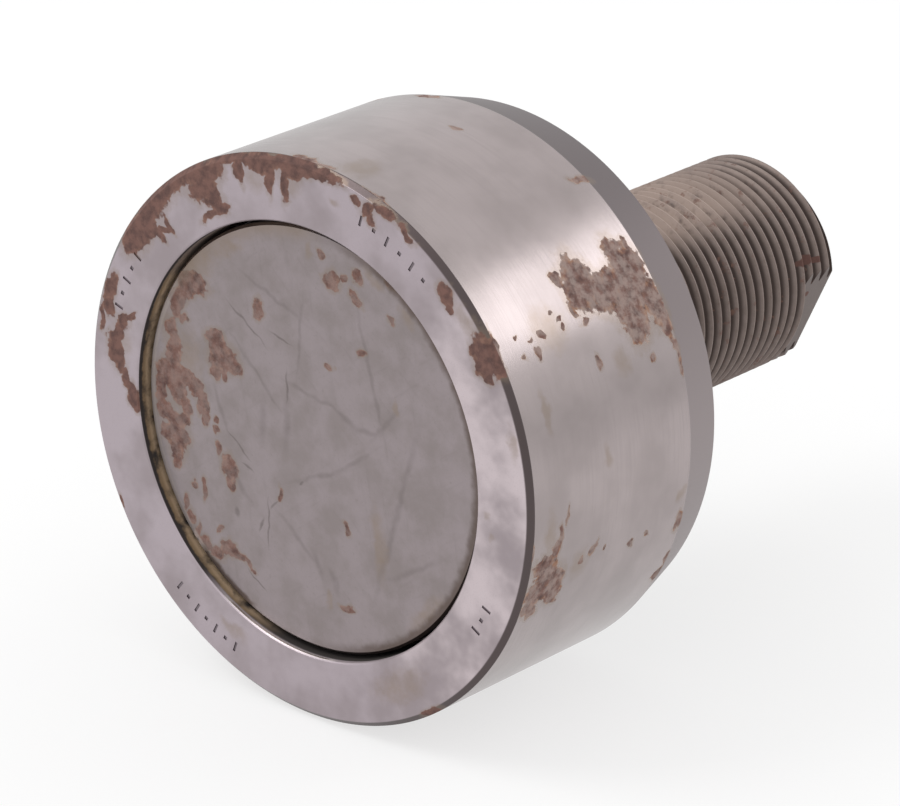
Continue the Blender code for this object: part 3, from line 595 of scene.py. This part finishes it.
def disc_material():
    g = Surface("disc_steel")
    plane = g.point(g.x, g.z, 0.0)
    rust, edge, stain = worn(g, plane, DISC_RUST, DISC_STAINS, spread=1.2)
    cloudy = g.smooth(g.noise(0.22, 5, 0.6), 0.35, 0.68)
    colour = g.mix(cloudy, STEEL_DISC, STEEL_DISC_DULL)
    speckle = g.smooth(g.noise(2.4, 5, 0.7), 0.55, 0.75)
    colour = g.mix(g.times(speckle, 0.4), colour, STEEL_DISC_DULL)
    wavering = g.ragged(plane, 0.5, 0.05)
    scored = g.less(g.lines(wavering, DISC_SCRATCHES), 0.3, 1.5)
    faint = g.less(g.lines(wavering, DISC_LINES), 0.2, 2.2)
    smears = None
    for turn, scale in ((35, 0.5), (100, 0.4), (-40, 0.6)):
        cosine, sine = math.cos(math.radians(turn)), math.sin(math.radians(turn))
        along = g.dot(plane, (0.18 * cosine, 0.18 * sine, 0))
        beside = g.dot(plane, (-2.2 * sine, 2.2 * cosine, 0))
        line = g.smooth(g.noise(scale, 4, 0.6, vector=g.point(along, beside, 0.0)), 0.55, 0.75)
        smears = line if smears is None else g.math("MAXIMUM", smears, line)
    patchy = g.range(g.noise(0.9, 3), 0.2, 1.0)
    marks = g.math("MAXIMUM", g.times(scored, 0.8), g.times(faint, 0.38))
    marks = g.times(g.math("MAXIMUM", marks, g.times(smears, 0.14)), patchy)
    colour = g.mix(marks, colour, MARK_GREY)
    colour = g.mix(stain, colour, STAIN_BROWN)
    colour = g.mix(rust, colour, g.rust_colour(edge, dust=0.12))
    around = g.full_angle()
    uneven = g.math("ADD", g.radius, g.range(g.noise(0.7, 3), -0.5, 0.5))
    rim = g.smooth(g.radius, HEAD_RADIUS - 1.0, HEAD_RADIUS - 0.7)
    # Painted highlight: the disc's outer edge on the left is painted pale, where the edge catches the light
    pale = g.times(g.band(around, *EDGE_PAINTED_LIGHT, 8.0), rim)
    colour = g.mix(g.times(pale, 0.6), colour, DISC_EDGE_PAINTED_LIGHT)
    # The brown stretch at the lower left is dirt; the dark band on the right is painted shade where the disc
    # passes under the rim's edge
    brown = g.times(g.band(around, *EDGE_BROWN, 4.0), g.smooth(uneven, HEAD_RADIUS - 1.1, HEAD_RADIUS - 0.6))
    tan = g.times(g.band(around, *EDGE_TAN, 12.0), g.smooth(uneven, HEAD_RADIUS - 2.2, HEAD_RADIUS - 0.2))
    outer = g.smooth(uneven, HEAD_RADIUS - 1.5, HEAD_RADIUS - 0.5)
    right = g.times(g.less(g.math("ABSOLUTE", g.angle), 60.0, 95.0), outer)
    overlay = g.math("MAXIMUM", g.times(brown, 0.85), g.times(right, 0.75))
    colour = g.mix(g.times(tan, 0.5), colour, STAIN_BROWN)
    colour = g.mix(overlay, colour, DISC_EDGE_DIRT_AND_SHADE)
    # Painted shade: the head's side, in the gap under the ring's rim, is painted near black
    side = g.smooth(g.y, HEAD_FRONT + 0.25, HEAD_FRONT + 0.4)
    colour = g.mix(side, colour, PAINTED_GAP_SHADE)
    dirty = g.math("MAXIMUM", rust, side)
    metallic = g.math("SUBTRACT", 1.0, dirty)
    roughness = g.blend(dirty, g.range(speckle, 0.40, 0.52), 0.8)
    height = g.math("SUBTRACT", g.noise(3.5, 5, 0.7), g.times(smears, 0.5))
    return g.finish(colour, roughness, metallic, height, strength=g.range(rust, 0.15, 0.9))


def thread_material():
    g = Surface("thread_steel")
    shown = g.noise(0.8, 5, 0.65)
    crest = g.smooth(g.radius, THREAD_RADIUS - 0.62, THREAD_RADIUS - 0.1)
    crest_colour = g.mix(g.smooth(shown, 0.35, 0.65), THREAD_CREST, THREAD_DIRT)
    colour = g.mix(crest, THREAD_ROOT, crest_colour)
    # Dried dirt fills the thread over the top of the stud
    top = g.times(g.band(g.angle, 66.0, 140.0, 25.0), g.less(g.y, 26.0, 42.0))
    filled = g.times(top, g.smooth(g.noise(0.5, 4, 0.6), 0.2, 0.5))
    colour = g.mix(g.times(filled, 0.9), colour, THREAD_DUST)
    rusty = g.smooth(g.noise(0.55, 5, 0.7), 0.58, 0.68)
    colour = g.mix(g.times(rusty, 0.7), colour, g.rust_colour(shown))
    flat_start = STUD_END - FLAT_LENGTH
    flat = g.times(g.smooth(g.y, flat_start - 0.02, flat_start + 0.02), flat_share(g))
    colour = g.mix(flat, colour, FLAT_GREY)
    end = g.smooth(g.y, STUD_END - 0.03, STUD_END - 0.01)
    colour = g.mix(end, colour, g.mix(shown, FLAT_GREY, THREAD_DIRT))
    colour = g.mix(g.less(g.y, 0.0, 0.05), colour, STEEL_TAPER)
    overlay = g.math("MAXIMUM", g.math("MAXIMUM", g.math("SUBTRACT", 1.0, crest), filled), rusty)
    rust_spots = g.less(g.spots(g.ragged(unrolled(g, g.y)), unrolled_rows(THREAD_RUST)), 0.9, 1.1)
    colour = g.mix(rust_spots, colour, g.mix(shown, RUST_DARK, RUST_MID))
    overlay = g.math("MAXIMUM", overlay, rust_spots)
    metallic = g.range(overlay, 0.6, 0.05)
    roughness = g.range(overlay, 0.55, 0.85)
    return g.finish(colour, roughness, metallic, shown, strength=0.5)


def flat_share(g):
    """1 on the two spanner flats, by distance from the axis along their normal."""
    direction = math.radians(FLAT_ANGLE)
    along = g.math("ADD", g.times(g.x, math.cos(direction)), g.times(g.z, math.sin(direction)))
    away = g.math("SUBTRACT", g.math("ABSOLUTE", along), FLAT_DISTANCE)
    return g.less(g.math("ABSOLUTE", away), 0.02, 0.05)


def plain_material(name, light, dark, low, high, metallic, scale=1.0, stretch=None):
    """A metal or plastic with cloudy colour, roughness from low to high and fine relief."""
    g = Surface(name)
    cloud = g.noise(0.35 * scale, 4, 0.6)
    fine = g.noise(3.0 * scale, 5, 0.65, stretch=stretch)
    colour = g.mix(g.smooth(cloud, 0.35, 0.65), light, dark)
    colour = g.mix(g.times(g.smooth(fine, 0.5, 0.75), 0.5), colour, dark)
    return g.finish(colour, g.range(fine, low, high), metallic, fine, strength=0.3)


def flange_material():
    g = Surface("flange_steel")
    cloud = g.noise(0.3, 4, 0.6)
    relief = g.noise(1.0, 4, 0.6, stretch=(1.2, 1.2, 1.2))
    colour = g.mix(g.smooth(cloud, 0.35, 0.65), FLANGE_LIGHT, FLANGE_DARK)
    rusty = g.smooth(g.noise(0.45, 5, 0.7), 0.56, 0.64)
    colour = g.mix(rusty, colour, g.rust_colour(cloud))
    dirty = g.math("MAXIMUM", rusty, g.smooth(g.noise(1.5, 4, 0.7), 0.55, 0.8))
    return g.finish(colour, g.range(dirty, 0.42, 0.8), g.range(dirty, 0.95, 0.05), relief)


def rounded(outline, radius, closed):
    """The outline with each real corner rounded, and a support point beside each arc."""
    count = len(outline)
    made = []
    for index, corner in enumerate(outline):
        ends = not closed and index in (0, count - 1)
        before = Vector(outline[index - 1]) - Vector(corner)
        after = Vector(outline[(index + 1) % count]) - Vector(corner)
        if ends or min(before.length, after.length) < TINY:
            made.append(tuple(corner))
            continue
        opening = before.angle(after)
        if opening > NEARLY_STRAIGHT:
            made.append(tuple(corner))
            continue
        reach = min(radius / math.tan(opening / 2), LONGEST_REACH * min(before.length, after.length))
        start = Vector(corner) + before.normalized() * reach
        end = Vector(corner) + after.normalized() * reach
        room = SUPPORT_SHARE * reach
        made.append(tuple(start + before.normalized() * room))
        for step in range(ARC_STEPS + 1):
            share = step / ARC_STEPS
            bent = start * (1 - share) ** 2 + Vector(corner) * 2 * share * (1 - share) + end * share**2
            made.append(tuple(bent))
        made.append(tuple(end + after.normalized() * room))
    return made


def round_point(shape, radius, angle, along):
    """A new vertex at a radius, an angle in radians and a place along the axis, in millimetres."""
    return shape.verts.new((radius * math.cos(angle) * MM, along * MM, radius * math.sin(angle) * MM))


def turned_shape(outline, segments, closed):
    """A bmesh turned round the Y axis from (radius, y) points in millimetres."""
    shape = bmesh.new()
    rings = []
    for radius, along in outline:
        if radius < TINY:
            rings.append([shape.verts.new((0, along * MM, 0))] * segments)
            continue
        angles = [math.tau * step / segments for step in range(segments)]
        rings.append([round_point(shape, radius, angle, along) for angle in angles])
    pairs = list(zip(rings, rings[1:]))
    if closed:
        pairs.append((rings[-1], rings[0]))
    for first, second in pairs:
        for step in range(segments):
            following = (step + 1) % segments
            corners = [first[step], first[following], second[following], second[step]]
            shape.faces.new(list(dict.fromkeys(corners)))
    bmesh.ops.recalc_face_normals(shape, faces=shape.faces)
    return shape


def new_object(name, shape):
    mesh = bpy.data.meshes.new(name)
    shape.to_mesh(mesh)
    shape.free()
    obj = bpy.data.objects.new(name, mesh)
    bpy.context.scene.collection.objects.link(obj)
    return obj


def turned(name, outline, segments=192, closed=False, corner=0.0):
    if corner:
        outline = rounded(outline, corner, closed)
    return new_object(name, turned_shape(outline, segments, closed))


def combine(obj, other, operation):
    """A Boolean, applied at once; the other object is removed."""
    modifier = obj.modifiers.new(operation, "BOOLEAN")
    modifier.operation = operation
    modifier.solver = "EXACT"
    modifier.object = other
    bpy.context.view_layer.update()
    graph = bpy.context.evaluated_depsgraph_get()
    mesh = bpy.data.meshes.new_from_object(obj.evaluated_get(graph))
    obj.modifiers.clear()
    obj.data = mesh
    bpy.data.objects.remove(other, do_unlink=True)


def shade(obj, degrees=30):
    obj.data.shade_smooth()
    obj.data.set_sharp_from_angle(angle=math.radians(degrees))


def dress(obj, materials, choose=None):
    """Gives the mesh its materials; choose turns a face's middle in millimetres into a slot number."""
    obj.data.materials.clear()
    for material in materials:
        obj.data.materials.append(material)
    if choose:
        for face in obj.data.polygons:
            face.material_index = choose(face.center / MM)


def add_box(shape, place, out, along, round_it):
    """A box of the three sizes in millimetres, in the place's frame."""
    sizes = Matrix.Diagonal((out * MM, along * MM, round_it * MM, 1))
    bmesh.ops.create_cube(shape, size=1.0, matrix=place @ sizes)


def radial_frame(angle, radius, along):
    """A matrix whose X runs out along the radius, Y along the axis and Z round it, in metres."""
    turn = Matrix.Rotation(-math.radians(angle), 4, "Y")
    return turn @ Matrix.Translation((radius * MM, along * MM, 0))


def make_ring():
    outline = [
        (RECESS_RADIUS + REAR_BORE_EDGE, RING_REAR),
        (RING_RADIUS - TAPER_DROP - REAR_EDGE_WIDTH, RING_REAR),
        (RING_RADIUS - TAPER_DROP, RING_REAR - REAR_EDGE_DEPTH),
        (RING_RADIUS, RING_REAR - TAPER_LENGTH),
        (RING_RADIUS, RING_FRONT + FRONT_CHAMFER),
        (RING_RADIUS - FRONT_CHAMFER, RING_FRONT),
        (RECESS_RADIUS + FRONT_BORE_EDGE, RING_FRONT),
        (RECESS_RADIUS, RING_FRONT + FRONT_BORE_EDGE),
        (RECESS_RADIUS, HEAD_REAR),
        (RECESS_RADIUS, FRONT_SHOULDER),
        (RACEWAY_RADIUS, FRONT_SHOULDER),
        (RACEWAY_RADIUS, REAR_SHOULDER),
        (RECESS_RADIUS, REAR_SHOULDER),
        (RECESS_RADIUS, RING_REAR - REAR_BORE_EDGE),
    ]
    ring = turned("track_ring", outline, segments=240, closed=True, corner=0.12)
    cutter = bmesh.new()
    for first, step, radius, count in PUNCH_ROWS:
        for index in range(count):
            place = radial_frame(first + step * index, radius, RING_FRONT)
            long_side, thin_side = PUNCH_DOT if index % 2 else PUNCH_TICK
            add_box(cutter, place, long_side, PUNCH_HEIGHT, thin_side)
    combine(ring, new_object("punches", cutter), "DIFFERENCE")
    shade(ring)

    def surface(middle):
        """0 on the rim, its chamfer and the recess wall, 1 on the outside, 2 in the bore."""
        radius = math.hypot(middle.x, middle.z)
        if middle.y < RING_FRONT + FRONT_CHAMFER and radius > RECESS_RADIUS - 0.1:
            return 0
        if middle.y < HEAD_REAR and radius < RECESS_RADIUS + 0.1:
            return 0
        return 1 if radius > TREAD_INNER_RADIUS else 2

    dress(ring, [rim_material(), tread_material(), inner_material()], surface)
    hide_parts("outer_ring")
    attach(ring, "outer_ring")


def thread_shape():
    """A bar of thread as a closed bmesh, a turn longer than the stud's thread at each end."""
    turns = math.ceil((STUD_END - RELIEF_LENGTH) / THREAD_PITCH) + 3
    start = RELIEF_LENGTH - 1.5 * THREAD_PITCH
    shape = bmesh.new()
    columns = []
    for step in range(THREAD_STEPS):
        angle = math.tau * step / THREAD_STEPS
        column = []
        for turn in range(turns):
            for share, depth in THREAD_PROFILE:
                radius = THREAD_RADIUS - depth
                along = start + (turn + share + step / THREAD_STEPS) * THREAD_PITCH
                column.append(round_point(shape, radius, angle, along))
        columns.append(column)
    lift = len(THREAD_PROFILE)
    for step in range(THREAD_STEPS):
        here = columns[step]
        there = columns[step + 1] if step + 1 < THREAD_STEPS else columns[0][lift:]
        for first in range(min(len(here), len(there)) - 1):
            shape.faces.new((here[first], there[first], there[first + 1], here[first + 1]))
    loose = [edge for edge in shape.edges if edge.is_boundary]
    middle = (start + turns * THREAD_PITCH / 2) * MM
    for upper in (False, True):
        rim = [edge for edge in loose if (edge.verts[0].co.y > middle) == upper]
        height = sum(edge.verts[0].co.y for edge in rim) / len(rim)
        centre = shape.verts.new((0, height, 0))
        for edge in rim:
            shape.faces.new((edge.verts[0], edge.verts[1], centre))
    bmesh.ops.recalc_face_normals(shape, faces=shape.faces)
    return shape


def make_stud():
    core_top = STUD_END - END_CHAMFER - THREAD_DEPTH
    race_end = FLANGE_FRONT - SEAT_CLEARANCE
    outline = [
        (0.0, core_top),
        (RELIEF_RADIUS, core_top),
        (RELIEF_RADIUS, 0.0),
        (SEAT_RADIUS, 0.0),
        (SEAT_RADIUS, race_end),
        (RACE_RADIUS, race_end),
        (RACE_RADIUS, HEAD_REAR),
        (HEAD_RADIUS, HEAD_REAR),
        (HEAD_RADIUS, HEAD_FRONT + HEAD_EDGE),
        (HEAD_RADIUS - HEAD_EDGE, HEAD_FRONT),
        (0.0, HEAD_FRONT),
    ]
    stud = turned("stud_body", outline, segments=192, corner=0.08)
    clear = THREAD_RADIUS + THREAD_DEPTH
    limits = [
        (0.0, STUD_END),
        (THREAD_RADIUS - END_CHAMFER, STUD_END),
        (clear, STUD_END - END_CHAMFER - THREAD_DEPTH),
        (clear, RELIEF_LENGTH),
        (0.0, RELIEF_LENGTH),
    ]
    thread = new_object("thread", thread_shape())
    combine(thread, turned("thread_limits", limits, segments=120), "INTERSECT")
    combine(stud, thread, "UNION")
    cutter = bmesh.new()
    depth = 2 * (THREAD_RADIUS - FLAT_DISTANCE)
    for angle in (FLAT_ANGLE, FLAT_ANGLE + 180):
        place = radial_frame(angle, FLAT_DISTANCE + depth / 2, STUD_END)
        add_box(cutter, place, depth, 2 * FLAT_LENGTH, 3 * THREAD_RADIUS)
    combine(stud, new_object("flats", cutter), "DIFFERENCE")
    pocket = [
        (0.0, STUD_END + 2),
        (POCKET_RADIUS, STUD_END + 2),
        (POCKET_RADIUS, STUD_END - POCKET_DEPTH),
        (GREASE_RADIUS, STUD_END - POCKET_DEPTH),
        (GREASE_RADIUS, 0.0),
        (0.0, -GREASE_RADIUS),
    ]
    combine(stud, turned("pocket", pocket, segments=64), "DIFFERENCE")
    shade(stud)
    dress(stud, [disc_material(), thread_material()], lambda middle: int(middle.y >= HEAD_REAR - 0.05))
    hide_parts("stud")
    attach(stud, "stud")


def make_flange():
    bore = SEAT_RADIUS + SEAT_CLEARANCE
    outline = [
        (FLANGE_RADIUS - FLANGE_EDGE, 0.0),
        (FLANGE_RADIUS, -FLANGE_EDGE),
        (FLANGE_RADIUS, FLANGE_FRONT),
        (bore, FLANGE_FRONT),
        (bore, 0.0),
    ]
    flange = turned("pressed_flange", outline, segments=192, closed=True, corner=0.15)
    shade(flange)
    dress(flange, [flange_material()])
    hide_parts("rear_flange")
    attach(flange, "stud")


def make_nipple():
    floor = STUD_END - POCKET_DEPTH + NIPPLE_CLEARANCE
    waist = (floor + NIPPLE_TOP) / 2
    shank = GREASE_RADIUS - NIPPLE_CLEARANCE
    outline = [(radius, NIPPLE_TOP - depth) for radius, depth in NIPPLE_MOUTH] + [
        (NIPPLE_TIP_RADIUS, NIPPLE_TOP),
        (NIPPLE_NOSE_RADIUS, NIPPLE_TOP - NIPPLE_NOSE_BEVEL),
        (NIPPLE_WAIST_RADIUS, waist),
        (NIPPLE_RADIUS, waist - NIPPLE_HEAD_BEVEL),
        (NIPPLE_RADIUS, floor),
        (shank, floor),
        (shank, floor - NIPPLE_SHANK_LENGTH),
        (0.0, floor - NIPPLE_SHANK_LENGTH),
    ]
    nipple = turned("nipple", outline, segments=72, corner=0.12)
    shade(nipple)
    dress(nipple, [plain_material("nipple_zinc", ZINC_LIGHT, ZINC_DARK, 0.28, 0.45, 1.0)])
    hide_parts("grease_nipple")
    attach(nipple, "stud")


def dress_hidden():
    """Better materials on the CAD nodes inside the bearing."""
    polyamide = plain_material("washer_polyamide", POLYAMIDE_LIGHT, POLYAMIDE_DARK, 0.45, 0.6, 0.0)
    cage = plain_material("cage_steel", CAGE_LIGHT, CAGE_DARK, 0.32, 0.48, 1.0)
    needle = plain_material("needle_steel", NEEDLE_LIGHT, NEEDLE_DARK, 0.12, 0.22, 1.0, 1.5, (1, 0.2, 1))
    for name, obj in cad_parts.items():
        if name.startswith("needle_") and name != "needle_cage":
            dress(obj, [needle])
        elif name.startswith("thrust_washer"):
            dress(obj, [polyamide])
        elif name == "needle_cage":
            dress(obj, [cage])


def add_light(name, towards, distance, width, height, power):
    data = bpy.data.lights.new(name, "AREA")
    data.shape = "RECTANGLE"
    data.size, data.size_y = width, height
    data.energy = power
    lamp = bpy.data.objects.new(name, data)
    bpy.context.scene.collection.objects.link(lamp)
    direction = Vector(towards).normalized()
    lamp.location = Vector(LAMP_AIM) + direction * distance
    lamp.rotation_euler = (-direction).to_track_quat("-Z", "Y").to_euler()


def make_studio():
    scene = bpy.context.scene
    scene.view_settings.view_transform = "Standard"
    world = bpy.data.worlds.new("studio")
    scene.world = world
    world.use_nodes = True
    g = Nodes(world.node_tree)
    seen, glossy = g.seen()
    # The studio is a little darker along its horizon, which polished metal shows
    direction = g.add("ShaderNodeTexCoord").outputs["Generated"]
    height = g.add("ShaderNodeSeparateXYZ", {0: direction}).outputs["Z"]
    horizon = g.times(g.less(g.math("ABSOLUTE", height), 0.0, 0.24), glossy)
    strength = g.math("SUBTRACT", g.blend(seen, 0.8, 1.0), g.times(horizon, 0.2))
    background = g.add("ShaderNodeBackground", {"Color": WHITE, "Strength": strength})
    g.add("ShaderNodeOutputWorld", {"Surface": background.outputs[0]})
    add_light("back_softbox", (0.492, 0.697, 0.524), distance=0.7, width=0.5, height=0.215, power=0.58)
    add_light("front_softbox", (-0.42, -0.45, 0.79), distance=0.8, width=0.45, height=0.3, power=1.6)


def make_floor():
    shape = bmesh.new()
    bmesh.ops.create_grid(shape, x_segments=1, y_segments=1, size=FLOOR_HALF_SIZE)
    floor = new_object("floor", shape)
    floor.location.z = ring_low.z - FLOOR_GAP
    g = Surface("pale_floor")
    seen, glossy = g.seen()
    diffuse = g.add("ShaderNodeBsdfDiffuse", {"Color": FLOOR_GREY})
    distance = g.length(g.place)
    far = g.times(g.smooth(distance, 100.0, 420.0), glossy)
    glow = g.add("ShaderNodeEmission", {"Color": WHITE, "Strength": g.blend(far, 1.17, 0.83)})
    # Far from the part the floor turns plain white, so that no edge shows behind it
    share = g.times(seen, g.blend(g.smooth(distance, 250.0, 900.0), 0.55, 1.0))
    both = g.add("ShaderNodeMixShader", {0: share, 1: diffuse.outputs[0], 2: glow.outputs[0]})
    g.add("ShaderNodeOutputMaterial", {"Surface": both.outputs[0]})
    dress(floor, [g.material])


def make_camera():
    data = bpy.data.cameras.new("camera")
    data.sensor_width = CAMERA_SENSOR_MM
    data.lens = CAMERA_LENS_MM
    data.clip_start = CAMERA_CLIP
    camera = bpy.data.objects.new("camera", data)
    bpy.context.scene.collection.objects.link(camera)
    azimuth, elevation = math.radians(CAMERA_AZIMUTH), math.radians(CAMERA_ELEVATION)
    back = Vector((
        math.sin(azimuth) * math.cos(elevation),
        -math.cos(azimuth) * math.cos(elevation),
        math.sin(elevation),
    ))
    camera.location = Vector(CAMERA_AIM) + back * CAMERA_DISTANCE
    camera.rotation_euler = (-back).to_track_quat("-Z", "Y").to_euler()
    bpy.context.scene.camera = camera


make_camera()
make_studio()
make_floor()
make_ring()
make_stud()
make_flange()
make_nipple()
dress_hidden()

bpy.context.view_layer.update()
